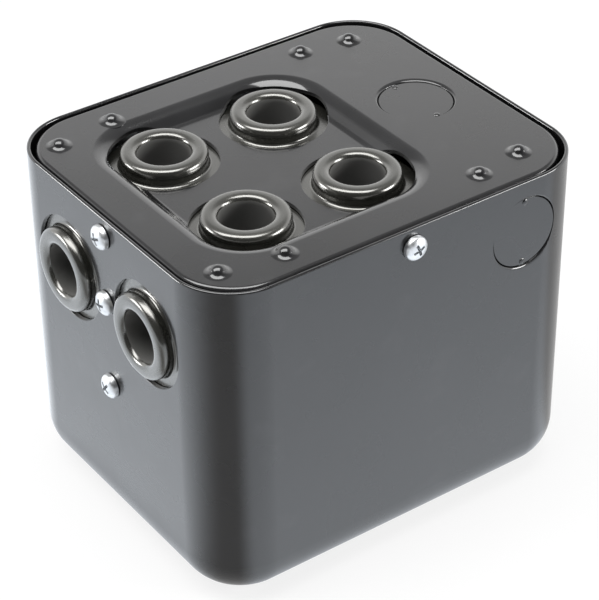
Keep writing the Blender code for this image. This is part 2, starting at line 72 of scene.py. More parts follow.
def boolean(obj, other, operation):
    step = obj.modifiers.new("boolean", "BOOLEAN")
    step.operation = operation
    step.solver = "EXACT"
    step.object = other
    freeze(obj)
    bpy.data.objects.remove(other, do_unlink=True)


def joinMeshes(name, meshes):
    bm = bmesh.new()
    for mesh in meshes:
        bm.from_mesh(mesh)
    mesh = bpy.data.meshes.new(name)
    bm.to_mesh(mesh)
    bm.free()
    return addObject(name, mesh)


def softEdges(obj, width, steps=2, angle=40):
    bevel = obj.modifiers.new("soft edges", "BEVEL")
    bevel.width = width
    bevel.segments = steps
    bevel.limit_method = "ANGLE"
    bevel.angle_limit = math.radians(angle)
    bevel.use_clamp_overlap = True
    freeze(obj)


def smooth(obj, angle=38):
    # rounded faces shade smooth and the flats stay flat
    obj.data.shade_smooth()
    obj.data.set_sharp_from_angle(angle=math.radians(angle))
    weighted = obj.modifiers.new("flats", "WEIGHTED_NORMAL")
    weighted.keep_sharp = True
    weighted.weight = 100
    return freeze(obj)


def arc(centre, radius, start, end, steps):
    turns = [math.radians(start + (end - start) * i / steps) for i in range(steps + 1)]
    return [(centre[0] + radius * math.cos(t), centre[1] + radius * math.sin(t)) for t in turns]


def circle(radius, height, steps, centre=(0, 0)):
    turns = [2 * math.pi * i / steps for i in range(steps)]
    return [(centre[0] + radius * math.cos(t), centre[1] + radius * math.sin(t), height) for t in turns]


def roundedRect(halfX, halfY, radius, steps, height, centre=(0, 0)):
    points = []
    for signX, signY, start in ((1, 1, 0), (-1, 1, 90), (-1, -1, 180), (1, -1, 270)):
        for i in range(steps + 1):
            turn = math.radians(start + 90 * i / steps)
            points.append((centre[0] + signX * (halfX - radius) + radius * math.cos(turn),
                           centre[1] + signY * (halfY - radius) + radius * math.sin(turn), height))
    return points


def loft(name, rings):
    # rings of equal count, closed by a face at each end
    bm = bmesh.new()
    rows = [[bm.verts.new(point) for point in ring] for ring in rings]
    for low, high in zip(rows, rows[1:]):
        for i in range(len(low)):
            j = (i + 1) % len(low)
            bm.faces.new((low[i], low[j], high[j], high[i]))
    bm.faces.new(rows[0])
    bm.faces.new(rows[-1])
    return meshFrom(bm, name)


def turned(name, profile, steps):
    # a closed profile of (radius, height), turned about Z
    bm = bmesh.new()
    rows = []
    for i in range(steps):
        turn = 2 * math.pi * i / steps
        rows.append([bm.verts.new((r * math.cos(turn), r * math.sin(turn), z)) for r, z in profile])
    count = len(profile)
    for i in range(steps):
        here, there = rows[i], rows[(i + 1) % steps]
        for k in range(count):
            m = (k + 1) % count
            bm.faces.new((here[k], there[k], there[m], here[m]))
    bmesh.ops.remove_doubles(bm, verts=bm.verts, dist=1e-7)
    return meshFrom(bm, name)


def discStack(name, profile, steps, centre=(0, 0)):
    # (radius, height) rings with flat ends
    return loft(name, [circle(radius, height, steps, centre) for radius, height in profile])


def flaredHole(name, radius, flare, low, face, high, steps, centre=(0, 0), lean=(0, 0)):
    # a round cutter whose edge at the face is rounded over, more so towards the lean
    edge = arc((radius + flare, face - flare), flare, 180, 90, 4)
    rings = []
    for r, z in [(radius, low)] + edge + [(radius + flare, high)]:
        middle = (centre[0] + lean[0] * (r - radius), centre[1] + lean[1] * (r - radius))
        rings.append(circle(r, z, steps, middle))
    return loft(name, rings)


def boxMesh(low, high):
    bm = bmesh.new()
    bmesh.ops.create_cube(bm, size=1)
    for vert in bm.verts:
        vert.co = [low[i] if vert.co[i] < 0 else high[i] for i in range(3)]
    return meshFrom(bm, "box")


def placed(mesh, matrix):
    mesh.transform(matrix)
    return mesh


# a piece with Z out of a wall: 0 front, 1 right, 2 rear, 3 left
wallNames = ("front", "right", "rear", "left")


def wallTurn(side):
    return Matrix.Rotation(side * math.pi / 2, 4, "Z") @ Matrix.Rotation(math.pi / 2, 4, "X")


def boxMiddle(node):
    low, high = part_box(node)
    return (low + high) / 2


def emptyTree(owner):
    owner.use_nodes = True
    owner.node_tree.nodes.clear()
    return owner.node_tree


def addNode(tree, kind, inputs=None, **settings):
    # a node with its settings; an input is a plain value or a link from another node
    node = tree.nodes.new(kind)
    for key, value in settings.items():
        setattr(node, key, value)
    for socket, value in (inputs or {}).items():
        if isinstance(value, bpy.types.NodeSocket):
            tree.links.new(value, node.inputs[socket])
        else:
            node.inputs[socket].default_value = value
    return node


def mixShaders(tree, factor, first, second):
    return addNode(tree, "ShaderNodeMixShader", {0: factor, 1: first.outputs[0], 2: second.outputs[0]})


# camera
cameraSetup = {
    "azimuth": -35.25,
    "elevation": 35.026,
    "roll": -0.599,
    "distance": 0.68885,
    "aimHeight": 0.0545,
    "aimRight": 0.00031,
    "lens": 138.16,
    "sensor": 36,
    "clip": (0.01, 20),
}


def towards(azimuth, elevation):
    # the direction out to a viewpoint, and the level direction to its right
    a, e = math.radians(azimuth), math.radians(elevation)
    out = Vector((math.sin(a) * math.cos(e), -math.cos(a) * math.cos(e), math.sin(e)))
    return out, Vector((math.cos(a), math.sin(a), 0))


def makeCamera(setup):
    back, right = towards(setup["azimuth"], setup["elevation"])
    place = Vector((0, 0, setup["aimHeight"])) + back * setup["distance"]
    aim = Vector((0, 0, setup["aimHeight"])) + right * setup["aimRight"]
    back = (place - aim).normalized()
    right = Vector((0, 0, 1)).cross(back).normalized()
    up = back.cross(right)
    roll = math.radians(setup["roll"])
    turnedRight = right * math.cos(roll) + up * math.sin(roll)
    turnedUp = up * math.cos(roll) - right * math.sin(roll)
    data = bpy.data.cameras.new("photoCamera")
    data.lens = setup["lens"]
    data.sensor_width = setup["sensor"]
    data.sensor_fit = "HORIZONTAL"
    data.clip_start, data.clip_end = setup["clip"]
    camera = bpy.data.objects.new("photoCamera", data)
    scene.collection.objects.link(camera)
    matrix = Matrix((turnedRight, turnedUp, back)).transposed().to_4x4()
    matrix.translation = place
    camera.matrix_world = matrix
    scene.camera = camera


makeCamera(cameraSetup)
scene.view_settings.view_transform = "Standard"
print("camera set")


# stage: floor, world, lamps and dark cards
stageSetup = {
    "floorSize": 12,
    "floorDrop": 0.0004,
    "floorColour": 0.86,
    "seenWhite": 0.82,  # how much of the floor's white is its own, so the rest keeps the shadow
    "nearGlow": 1.32,
    "farGlow": 1.05,
    "glowSpan": (0.06, 0.26),
    "contactGlow": 0.3,
    "contactStart": 0.008,
    "contactReach": 0.012,
    "caseCorner": 0.019,
    "glowTint": (0.95, 1.0, 1.06, 1),
    "worldBack": 1.14,
    "worldTop": 0.38,
    "worldFront": 0.09,
    "skyLow": 0.46,
    "skyHigh": 0.63,
    "frontToBack": (-0.6, 0.5),
}


def makeFloor(setup):
    half = setup["floorSize"] / 2
    bm = bmesh.new()
    corners = ((-half, -half), (half, -half), (half, half), (-half, half))
    bm.faces.new([bm.verts.new((x, y, -setup["floorDrop"])) for x, y in corners])
    mesh = bpy.data.meshes.new("floor")
    bm.to_mesh(mesh)
    bm.free()
    floor = addObject("floor", mesh)
    material = bpy.data.materials.new("paleFloor")
    tree = emptyTree(material)
    plain = addNode(tree, "ShaderNodeBsdfDiffuse", {"Color": (setup["floorColour"],) * 3 + (1,)})
    white = addNode(tree, "ShaderNodeEmission", {"Color": (1, 1, 1, 1)})
    path = addNode(tree, "ShaderNodeLightPath").outputs
    seen = addNode(tree, "ShaderNodeMath", {0: path["Is Camera Ray"], 1: setup["seenWhite"]},
                   operation="MULTIPLY")
    # in reflections the floor is brightest close to the case, but dim in the case's own shadow
    where = addNode(tree, "ShaderNodeTexCoord").outputs["Object"]
    reach = addNode(tree, "ShaderNodeVectorMath", {0: where}, operation="LENGTH")
    fade = addNode(tree, "ShaderNodeMapRange", {
        "Value": reach.outputs["Value"],
        "From Min": setup["glowSpan"][0], "From Max": setup["glowSpan"][1],
        "To Min": setup["nearGlow"], "To Max": setup["farGlow"]})
    flip = addNode(tree, "ShaderNodeVectorMath", {0: where}, operation="ABSOLUTE")
    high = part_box("case_can")[1]
    inner = (high.x - setup["caseCorner"], high.y - setup["caseCorner"], 0)
    beyond = addNode(tree, "ShaderNodeVectorMath", {0: flip.outputs[0], 1: inner}, operation="SUBTRACT")
    clear = addNode(tree, "ShaderNodeVectorMath", {0: beyond.outputs[0], 1: (0, 0, 0)}, operation="MAXIMUM")
    away = addNode(tree, "ShaderNodeVectorMath", {0: clear.outputs[0]}, operation="LENGTH")
    shade = addNode(tree, "ShaderNodeMapRange", {
        "Value": away.outputs["Value"],
        "From Min": setup["contactStart"], "From Max": setup["caseCorner"] + setup["contactReach"],
        "To Min": setup["contactGlow"], "To Max": 1})
    level = addNode(tree, "ShaderNodeMath", {0: fade.outputs["Result"], 1: shade.outputs["Result"]},
                    operation="MULTIPLY")
    glow = addNode(tree, "ShaderNodeEmission", {"Color": setup["glowTint"], "Strength": level.outputs[0]})
    mirrored = addNode(tree, "ShaderNodeMath", {0: path["Is Glossy Ray"], 1: path["Is Transmission Ray"]},
                       operation="MAXIMUM")
    first = mixShaders(tree, seen.outputs[0], plain, white)
    second = mixShaders(tree, mirrored.outputs[0], first, glow)
    addNode(tree, "ShaderNodeOutputMaterial", {"Surface": second.outputs[0]})
    floor.data.materials.append(material)


def makeWorld(setup):
    # bright low at the back, dimmer overhead and dark at the front; plain white to the camera
    world = bpy.data.worlds.new("studio")
    scene.world = world
    tree = emptyTree(world)
    where = addNode(tree, "ShaderNodeTexCoord").outputs["Generated"]
    a = math.radians(cameraSetup["azimuth"])
    toBack = addNode(tree, "ShaderNodeVectorMath", {0: where, 1: (-math.sin(a), math.cos(a), 0)},
                     operation="DOT_PRODUCT")
    split = addNode(tree, "ShaderNodeSeparateXYZ", {0: where})
    rise = addNode(tree, "ShaderNodeMapRange", {
        "Value": split.outputs["Z"],
        "From Min": setup["skyLow"], "From Max": setup["skyHigh"],
        "To Min": setup["worldBack"], "To Max": setup["worldTop"]}, interpolation_type="SMOOTHSTEP")
    fade = addNode(tree, "ShaderNodeMapRange", {
        "Value": toBack.outputs["Value"],
        "From Min": setup["frontToBack"][0], "From Max": setup["frontToBack"][1],
        "To Min": setup["worldFront"], "To Max": rise.outputs["Result"]}, interpolation_type="SMOOTHSTEP")
    light = addNode(tree, "ShaderNodeBackground", {"Color": (1, 1, 1, 1), "Strength": fade.outputs["Result"]})
    seen = addNode(tree, "ShaderNodeBackground", {"Color": (1, 1, 1, 1), "Strength": 1})
    path = addNode(tree, "ShaderNodeLightPath").outputs
    mix = mixShaders(tree, path["Is Camera Ray"], light, seen)
    addNode(tree, "ShaderNodeOutputWorld", {"Surface": mix.outputs[0]})


lampSetup = [
    # turn from the camera's side, elevation, distance, shift to the right, width and height, brightness
    {"name": "overhead", "turn": 0, "elevation": 85, "distance": 1.0, "aside": -0.3,
     "size": (1.3, 0.55), "level": 6},
    {"name": "leftSide", "turn": -93, "elevation": 14, "distance": 1.0, "aside": 0,
     "size": (0.36, 0.28), "level": 14},
    {"name": "rightSide", "turn": 80, "elevation": 20, "distance": 1.0, "aside": 0,
     "size": (0.46, 0.3), "level": 14},
]


def makeLamp(lamp):
    out, across = towards(cameraSetup["azimuth"] + lamp["turn"], lamp["elevation"])
    data = bpy.data.lights.new(lamp["name"], "AREA")
    data.shape = "RECTANGLE"
    data.size, data.size_y = lamp["size"]
    data.energy = lamp["level"] * math.pi * lamp["size"][0] * lamp["size"][1]
    obj = bpy.data.objects.new(lamp["name"], data)
    matrix = Matrix((across, out.cross(across), out)).transposed().to_4x4()
    matrix.translation = out * lamp["distance"] + across * lamp["aside"]
    obj.matrix_world = matrix
    scene.collection.objects.link(obj)


cardSetup = [
    # turned from the camera's side, dark between the two inner turns and fading to the outer ones
    {"name": "cornerCard", "side": -1, "turn": 0, "fade": (-80, -22, -4, 24),
     "level": 0.42, "height": -0.0001, "reach": 0.6, "sides": 48},
    {"name": "rightCard", "side": 1, "turn": 138, "fade": (-60, -34, 34, 60),
     "level": 0.6, "height": -0.0002, "reach": 0.6, "sides": 48},
]


def makeCard(setup):
    # a dark card on the floor beside a front corner, seen only in reflections
    low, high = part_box("case_can")
    corner = stageSetup["caseCorner"]
    bm = bmesh.new()
    bmesh.ops.create_circle(bm, cap_ends=True, segments=setup["sides"], radius=setup["reach"])
    mesh = bpy.data.meshes.new(setup["name"])
    bm.to_mesh(mesh)
    bm.free()
    card = addObject(setup["name"], mesh)
    cornerX = high.x - corner if setup["side"] > 0 else low.x + corner
    card.location = (cornerX, low.y + corner, setup["height"])
    card.rotation_euler.z = math.radians(cameraSetup["azimuth"] + setup["turn"] - 90)
    card.visible_camera = False
    card.visible_shadow = False
    card.visible_diffuse = False
    material = bpy.data.materials.new(setup["name"])
    tree = emptyTree(material)
    where = addNode(tree, "ShaderNodeTexCoord").outputs["Object"]
    sweep = addNode(tree, "ShaderNodeTexGradient", {"Vector": where}, gradient_type="RADIAL")
    edge = addNode(tree, "ShaderNodeValToRGB", {"Fac": sweep.outputs["Fac"]})
    ramp = edge.color_ramp
    ramp.interpolation = "EASE"
    for stop, (turn, level) in enumerate(zip(setup["fade"], (1, 0, 0, 1))):
        place = 0.5 + turn / 360
        point = ramp.elements[stop] if stop < 1 else ramp.elements.new(place)
        point.position = place
        point.color = (level, level, level, 1)
    ramp.elements.remove(ramp.elements[-1])
    dark = addNode(tree, "ShaderNodeEmission", {"Strength": setup["level"]})
    clear = addNode(tree, "ShaderNodeBsdfTransparent")
    mix = mixShaders(tree, edge.outputs["Color"], dark, clear)
    addNode(tree, "ShaderNodeOutputMaterial", {"Surface": mix.outputs[0]})
    card.data.materials.append(material)


makeFloor(stageSetup)
makeWorld(stageSetup)
for lamp in lampSetup:
    makeLamp(lamp)
for card in cardSetup:
    makeCard(card)
print("stage and lamps set")


# finishes
finishSetup = {
    "toneSpan": (0.32, 0.7),
    "wanderSpan": (0.3, 0.7),
    "scuffSpan": (0.6, 0.8),
    "scuffScale": 55,
    "scuffGrain": 420,
}


def finish(name, look):
    # one procedural finish: two tones, roughness that wanders, a fine grain in relief
    material = bpy.data.materials.new(name)
    material.use_nodes = True
    tree = material.node_tree
    shader = tree.nodes["Principled BSDF"]
    where = addNode(tree, "ShaderNodeTexCoord").outputs["Object"]
    stretch = addNode(tree, "ShaderNodeMapping", {"Vector": where, "Scale": look.get("stretch", (1, 1, 1))})
    stretched = stretch.outputs["Vector"]

    def noise(scale, source, detail):
        inputs = {"Scale": scale, "Detail": detail, "Vector": source}
        return addNode(tree, "ShaderNodeTexNoise", inputs).outputs["Fac"]

    def ranged(value, span, low, high):
        inputs = {"Value": value, "From Min": span[0], "From Max": span[1], "To Min": low, "To Max": high}
        return addNode(tree, "ShaderNodeMapRange", inputs).outputs["Result"]

    def mixed(factor, first, second, kind):
        inputs = {"Factor": factor, "A": first, "B": second}
        return addNode(tree, "ShaderNodeMix", inputs, data_type=kind).outputs["Result"]

    tones = addNode(tree, "ShaderNodeValToRGB", {"Fac": noise(look["cloudScale"], where, detail=4)})
    ends = zip(tones.color_ramp.elements, finishSetup["toneSpan"], (look["dark"], look["light"]))
    for point, place, tone in ends:
        point.position = place
        point.color = (*tone, 1)
    colour = tones.outputs["Color"]
    if "wear" in look:
        # scattered scuffs, a little paler
        cloud = noise(finishSetup["scuffScale"], where, detail=2)
        patch = ranged(cloud, finishSetup["scuffSpan"], 0, look["wearAmount"])
        grain = noise(finishSetup["scuffGrain"], where, detail=3)
        broken = addNode(tree, "ShaderNodeMath", {0: patch, 1: grain}, operation="MULTIPLY")
        colour = mixed(broken.outputs[0], colour, (*look["wear"], 1), "RGBA")
    wander = noise(look["roughScale"], stretched, detail=3)
    roughness = ranged(wander, finishSetup["wanderSpan"], *look["rough"])
    if "boreRough" in look:
        # inside the bore: dull and without the coat's shine, and painted paler: painted light that stands in
        # for the light seen down the bore
        mark = addNode(tree, "ShaderNodeAttribute", attribute_name="bore").outputs["Fac"]
        roughness = mixed(mark, roughness, look["boreRough"], "FLOAT")
        colour = mixed(mark, colour, (*look["borePaintedLight"], 1), "RGBA")
        tree.links.new(ranged(mark, (0, 1), look["coat"], 0), shader.inputs["Coat Weight"])
    tree.links.new(colour, shader.inputs["Base Color"])
    tree.links.new(roughness, shader.inputs["Roughness"])
    relief = addNode(tree, "ShaderNodeBump", {
        "Strength": look["bump"], "Distance": look["bumpDepth"],
        "Height": noise(look["grainScale"], stretched, detail=2)})
    tree.links.new(relief.outputs["Normal"], shader.inputs["Normal"])
    shader.inputs["Metallic"].default_value = look.get("metal", 0)
    shader.inputs["IOR"].default_value = look.get("ior", 1.5)
    shader.inputs["Coat Weight"].default_value = look.get("coat", 0)
    shader.inputs["Coat Roughness"].default_value = look.get("coatRough", 0.1)
    shader.inputs["Coat IOR"].default_value = look.get("coatIor", 1.5)
    shader.inputs["Specular Tint"].default_value = (*look.get("shineTint", (1, 1, 1)), 1)
    return material


caseBlack = finish("caseBlack", {
    "dark": (0.007, 0.007, 0.0075), "light": (0.011, 0.011, 0.012), "cloudScale": 30,
    "wear": (0.05, 0.05, 0.053), "wearAmount": 0.5,
    "rough": (0.24, 0.34), "roughScale": 60, "grainScale": 900, "bump": 0.05, "bumpDepth": 0.0002,
    "ior": 1.3, "coat": 1.0, "coatRough": 0.1, "coatIor": 1.65})
bushingBlack = finish("bushingBlack", {
    "dark": (0.012, 0.012, 0.01), "light": (0.018, 0.018, 0.015), "cloudScale": 90,
    # the bore's paler colour below is painted light, standing in for the light seen down the bore
    "boreRough": 0.8, "borePaintedLight": (0.085, 0.085, 0.085),
    "rough": (0.2, 0.3), "roughScale": 200, "grainScale": 2200, "bump": 0.03, "bumpDepth": 0.0001,
    "ior": 1.7, "shineTint": (1, 0.97, 0.84), "coat": 1.0, "coatRough": 0.22, "coatIor": 1.9})
screwZinc = finish("screwZinc", {
    "dark": (0.74, 0.76, 0.78), "light": (0.9, 0.91, 0.92), "cloudScale": 700, "metal": 1,
    "rough": (0.32, 0.48), "roughScale": 900, "grainScale": 2600, "bump": 0.12, "bumpDepth": 0.0001})
stripSteel = finish("stripSteel", {
    "dark": (0.4, 0.41, 0.42), "light": (0.55, 0.56, 0.57), "cloudScale": 160, "metal": 1,
    "stretch": (1, 0.06, 1),
    "rough": (0.28, 0.45), "roughScale": 700, "grainScale": 1800, "bump": 0.12, "bumpDepth": 0.0001})
fibreTan = finish("fibreTan", {
    "dark": (0.2, 0.16, 0.1), "light": (0.29, 0.24, 0.16), "cloudScale": 240,
    "rough": (0.62, 0.8), "roughScale": 300, "grainScale": 1500, "bump": 0.3, "bumpDepth": 0.0002})
boardGreen = finish("boardGreen", {
    "dark": (0.008, 0.1, 0.045), "light": (0.018, 0.15, 0.07), "cloudScale": 120, "coat": 0.4,
    "rough": (0.3, 0.45), "roughScale": 240, "grainScale": 1600, "bump": 0.15, "bumpDepth": 0.0001})
discBlue = finish("discBlue", {
    "dark": (0.015, 0.07, 0.25), "light": (0.03, 0.11, 0.34), "cloudScale": 160,
    "rough": (0.3, 0.48), "roughScale": 240, "grainScale": 900, "bump": 0.25, "bumpDepth": 0.0002})
fuseBuff = finish("fuseBuff", {
    "dark": (0.44, 0.39, 0.3), "light": (0.55, 0.5, 0.4), "cloudScale": 300,
    "rough": (0.42, 0.58), "roughScale": 400, "grainScale": 1500, "bump": 0.2, "bumpDepth": 0.0001})
boxYellow = finish("boxYellow", {
    "dark": (0.48, 0.36, 0.04), "light": (0.58, 0.45, 0.07), "cloudScale": 140,
    "rough": (0.36, 0.52), "roughScale": 260, "grainScale": 1800, "bump": 0.15, "bumpDepth": 0.0001})
blockBlack = finish("blockBlack", {
    "dark": (0.014, 0.014, 0.015), "light": (0.026, 0.026, 0.028), "cloudScale": 160,
    "rough": (0.42, 0.58), "roughScale": 300, "grainScale": 2000, "bump": 0.2, "bumpDepth": 0.0001})
print("finishes made")


def hand(piece, body, slot, material, *nodes):
    # gives a finished piece its finish and body, and hides what it stands for
    piece.data.materials.clear()
    piece.data.materials.append(material)
    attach(piece, body)
    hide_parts(*nodes)


def shellMesh(name, halfX, halfY, look, profile):
    # a rounded box of (inset, height) rings, for the can and the lid
    rings = []
    for inset, height in profile:
        rings.append(roundedRect(halfX - inset, halfY - inset, look["corner"] - inset,
                                 look["cornerSteps"], height))
    return loft(name, rings)


# the drawn can
canLook = {
    "wall": 0.0012,
    "corner": 0.019,
    "bottom": 0.0145,
    "rim": 0.0006,
    "cornerSteps": 26,
    "bottomSteps": 14,
    "bushingHole": 0.0161,
    "screwHole": 0.00205,
    "knockoutHole": 0.01135,
    "knockoutFlare": 0.0007,
    "knockoutLean": (0.85, -0.5),
    "holeFlare": 0.0002,
    "holeSteps": 72,
}


def makeCan(look):
    halfX, halfY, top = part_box("case_can")[1]
    wall, rim, bottom = look["wall"], look["rim"], look["bottom"]
    # up the outside, over the rim and down the inside
    profile = arc((bottom, bottom), bottom, 270, 180, look["bottomSteps"])
    profile += arc((rim, top - rim), rim, 180, 90, 4)
    profile += arc((wall - rim, top - rim), rim, 90, 0, 4)
    profile += arc((bottom, bottom), bottom - wall, 180, 270, look["bottomSteps"])
    can = addObject("can", shellMesh("can", halfX, halfY, look, profile))
    cutters = []

    def drill(side, middle, radius, flare, lean=(0, 0)):
        reach = 4 * wall
        tool = flaredHole("drill", radius, flare, -reach, 0, reach, look["holeSteps"], (0, 0), lean)
        face = Vector(middle)
        face[0 if side % 2 else 1] = (-halfY, halfX, halfY, -halfX)[side]
        cutters.append(placed(tool, Matrix.Translation(face) @ wallTurn(side)))

    for name in ("front", "rear"):
        drill(3, boxMiddle("side_bushing_" + name), look["bushingHole"], look["holeFlare"])
    for side, name in enumerate(wallNames):
        drill(side, boxMiddle("lid_screw_" + name), look["screwHole"], look["holeFlare"])
    for name in ("upper", "lower"):
        drill(3, boxMiddle("side_screw_" + name), look["screwHole"], look["holeFlare"])
    drill(0, boxMiddle("front_knockout"), look["knockoutHole"], look["knockoutFlare"], look["knockoutLean"])
    boolean(can, joinMeshes("drills", cutters), "DIFFERENCE")
    smooth(can)
    hand(can, "case", "black_paint", caseBlack, "case_can")


makeCan(canLook)
print("can made")


# the lid with its drawn well and pressed domes
lidLook = {
    "sheet": 0.001,
    "corner": 0.0188,
    "bend": 0.0013,
    "innerBend": 0.0008,
    "edge": 0.0002,
    "cornerSteps": 26,
    "wellX": -0.0128,
    "wellHalf": (0.0365, 0.0383),
    "wellCorner": 0.016,
    "wellDepth": 0.00395,
    "wellRun": 0.004,
    "wellTopRound": 0.006,
    "wellFloorRound": 0.0024,
    "wellBrim": ((0.0006, 0.00006), (0, 0.000004)),  # spread and rise of the cutter over the top
    "wellSide": 0.0012,
    "ringHole": 0.0161,
    "knockoutHole": 0.01135,
    "knockoutFlare": 0.0007,
    "knockoutLean": (0.58, 0.82),
    "holeFlare": 0.0002,
    "slot": 0.00205,
    "relief": 0.0131,
    "domeFlare": 0.0026,
    "domeSlant": 55,
    "domeHeight": 0.0022,
    "domeSink": 0.00001,
    "domeRoot": 0.0006,
    "domeTop": 88,
    "domeSides": 48,
    "domes": ((-0.0355, 0.043), (-0.055, 0.04), (0.0325, 0.0435), (0.049, 0.041),
              (-0.0349, -0.0435), (-0.0544, -0.0404), (0.032, -0.0432), (0.0484, -0.0406)),
    "steps": 72,
}
lidBushingNames = ("front_left", "front_right", "rear_left", "rear_right")


def wellProfile(look, top):
    # (spread, height) down the well's side, rounded over at the top and into the floor
    run, depth = look["wellRun"], look["wellDepth"]
    slope = math.degrees(math.atan2(depth, run))
    bend = look["wellTopRound"]
    tangent = bend * math.tan(math.radians(slope / 2))
    profile = [(tangent + spread, top + rise) for spread, rise in look["wellBrim"]]
    profile += arc((tangent, top - bend), bend, 90, 90 + slope, 7)[1:]
    bend = look["wellFloorRound"]
    tangent = bend * math.tan(math.radians(slope / 2))
    profile += arc((-run - tangent, top - depth + bend), bend, 270 + slope, 270, 7)
    return profile


def domeMesh(look):
    # a round cap that flares into the sheet
    flare, slant, height, sink = look["domeFlare"], look["domeSlant"], look["domeHeight"], look["domeSink"]
    cap = height / (1 - math.cos(math.radians(slant))) - flare
    foot = (cap + flare) * math.sin(math.radians(slant))
    profile = [(foot, -look["domeRoot"])]
    profile += [(x, z - sink) for x, z in arc((foot, flare), flare, 270, 270 - slant, 8)]
    profile += arc((0, height - cap - sink), cap, 90 - slant, look["domeTop"], 12)[1:]
    return discStack("dome", profile, look["domeSides"])


def slotMesh(look, drop):
    # a slot, open below, that lets the lid lift off its screw
    width, sheet = look["slot"], look["sheet"]
    outline = [(-width, drop - sheet), (width, drop - sheet)] + arc((0, 0), width, 0, 180, 12)
    return loft("slot", [[(x, y, z) for x, y in outline] for z in (-2 * sheet, sheet)])


def makeLid(look):
    low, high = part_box("lid_cover")
    top = high.z - look["domeHeight"]
    halfX, halfY, bottom = high.x, high.y, low.z
    sheet, bend, inner, edge = look["sheet"], look["bend"], look["innerBend"], look["edge"]
    # down the flange's inside, round its edge and up the outside
    profile = arc((sheet + inner, top - sheet - inner), inner, 90, 180, 4)
    profile += [(sheet, bottom + edge), (sheet - edge, bottom), (edge, bottom), (0, bottom + edge)]
    profile += arc((bend, top - bend), bend, 180, 90, 8)
    lid = addObject("lid", shellMesh("lid", halfX, halfY, look, profile))

    def wellRing(spread, height, grown=0):
        return roundedRect(look["wellHalf"][0] + spread + grown, look["wellHalf"][1] + spread + grown,
                           look["wellCorner"] + spread + grown, look["cornerSteps"], height,
                           (look["wellX"], 0))

    slope = look["wellRun"] / look["wellDepth"]
    floor = top - look["wellDepth"]
    under = floor - sheet
    outer = [wellRing(slope * (z - top), z, look["wellSide"]) for z in (under, top - sheet / 2)]
    boolean(lid, addObject("wellUnder", loft("wellUnder", outer)), "UNION")
    hollow = [wellRing(spread, z) for spread, z in wellProfile(look, top)]
    boolean(lid, addObject("wellHollow", loft("wellHollow", hollow)), "DIFFERENCE")
    cutters = []
    for name in lidBushingNames:
        middle = boxMiddle("lid_bushing_" + name)
        cutters.append(flaredHole("ringHole", look["ringHole"], look["holeFlare"], under - 2 * sheet, floor,
                                  top + 2 * sheet, look["steps"], (middle.x, middle.y)))
    middle = boxMiddle("lid_knockout")
    cutters.append(flaredHole("knockoutHole", look["knockoutHole"], look["knockoutFlare"], top - 3 * sheet,
                              top, top + sheet, look["steps"], (middle.x, middle.y), look["knockoutLean"]))
    boolean(lid, joinMeshes("lidHoles", cutters), "DIFFERENCE")
    cutters = []
    for side, name in enumerate(wallNames):
        middle = boxMiddle("lid_screw_" + name)
        turn = wallTurn(side)
        out = turn @ Vector((0, 0, halfX if side % 2 else halfY))
        place = Matrix.Translation((out.x, out.y, middle.z)) @ turn
        cutters.append(placed(slotMesh(look, bottom - middle.z), place))
    # room behind the front slug
    middle = boxMiddle("front_knockout")
    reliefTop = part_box("front_knockout")[1].z + sheet
    cutters.append(boxMesh((middle.x - look["relief"], -halfY - sheet, bottom - sheet),
                           (middle.x + look["relief"], -halfY + 2 * sheet, reliefTop)))
    boolean(lid, joinMeshes("lidSlots", cutters), "DIFFERENCE")
    domes = [placed(domeMesh(look), Matrix.Translation((x, y, top))) for x, y in look["domes"]]
    boolean(lid, joinMeshes("domes", domes), "UNION")
    smooth(lid)
    hand(lid, "lid", "black_paint", caseBlack, "lid_cover")


makeLid(lidLook)
print("lid made")


# wire bushings
bushingLook = {
    "bore": 0.0077,
    "ring": 0.0129,
    "lidRingHeight": 0.00405,
    "sideRingHeight": 0.00325,
    "crown": 0.68,
    "ringTall": 0.0029,
    "neck": 0.0127,
    "fillet": 0.0011,
    "flange": 0.0177,
    "flangeThick": 0.002,
    "tail": 0.0101,
    "tailLength": 0.006,
    "gap": 0.0003,
    "ease": 0.0003,
    "tailEase": 0.0004,
    "boreEase": 0.0005,
    "boreDrop": 0.0008,
    # the same mark also carries the bore's paler colour, painted light for the light seen down the bore
    "boreMark": (0.0004, 0.0016),  # how far past the bore, and up its lip, the duller finish reaches
    "steps": 96,
}


def bushingMesh(look, sheet, ringHeight):
    bore, flange, tail = look["bore"], look["flange"], look["tail"]
    ease, tailEase, boreEase, fillet = look["ease"], look["tailEase"], look["boreEase"], look["fillet"]
    lip = (look["ring"] - bore) / 2
    flangeTop = -sheet - look["gap"]
    flangeLow = flangeTop - look["flangeThick"]
    end = flangeLow - look["tailLength"]
    middle = ringHeight - look["ringTall"]
    profile = [(bore, middle - look["boreDrop"])]
    for x, z in arc((0, 0), 1, 180, 0, 36):
        out = math.copysign(abs(x) ** look["crown"], x)
        profile.append((bore + lip + lip * out, middle + look["ringTall"] * max(z, 0) ** look["crown"]))
    profile += arc((look["neck"] + fillet, flangeTop + fillet), fillet, 180, 270, 6)
    profile += [(flange - ease, flangeTop), (flange, flangeTop - ease)]
    profile += [(flange, flangeLow + ease), (flange - ease, flangeLow)]
    profile += [(tail + ease, flangeLow), (tail, flangeLow - ease)]
    profile += [(tail, end + tailEase), (tail - tailEase, end)]
    profile += [(bore + boreEase, end), (bore, end + boreEase)]
    mesh = turned("bushing", profile, look["steps"])
    # the bore is marked, so that its finish can be duller and its colour paler; the paler colour is painted
    # light for the light seen down the bore
    inside = mesh.attributes.new("bore", "FLOAT", "POINT")
    past, up = look["boreMark"]
    for point, mark in zip(mesh.vertices, inside.data):
        radius = math.hypot(point.co.x, point.co.y)
        mark.value = 1.0 if radius < bore + past and point.co.z < middle + up else 0.0
    return mesh


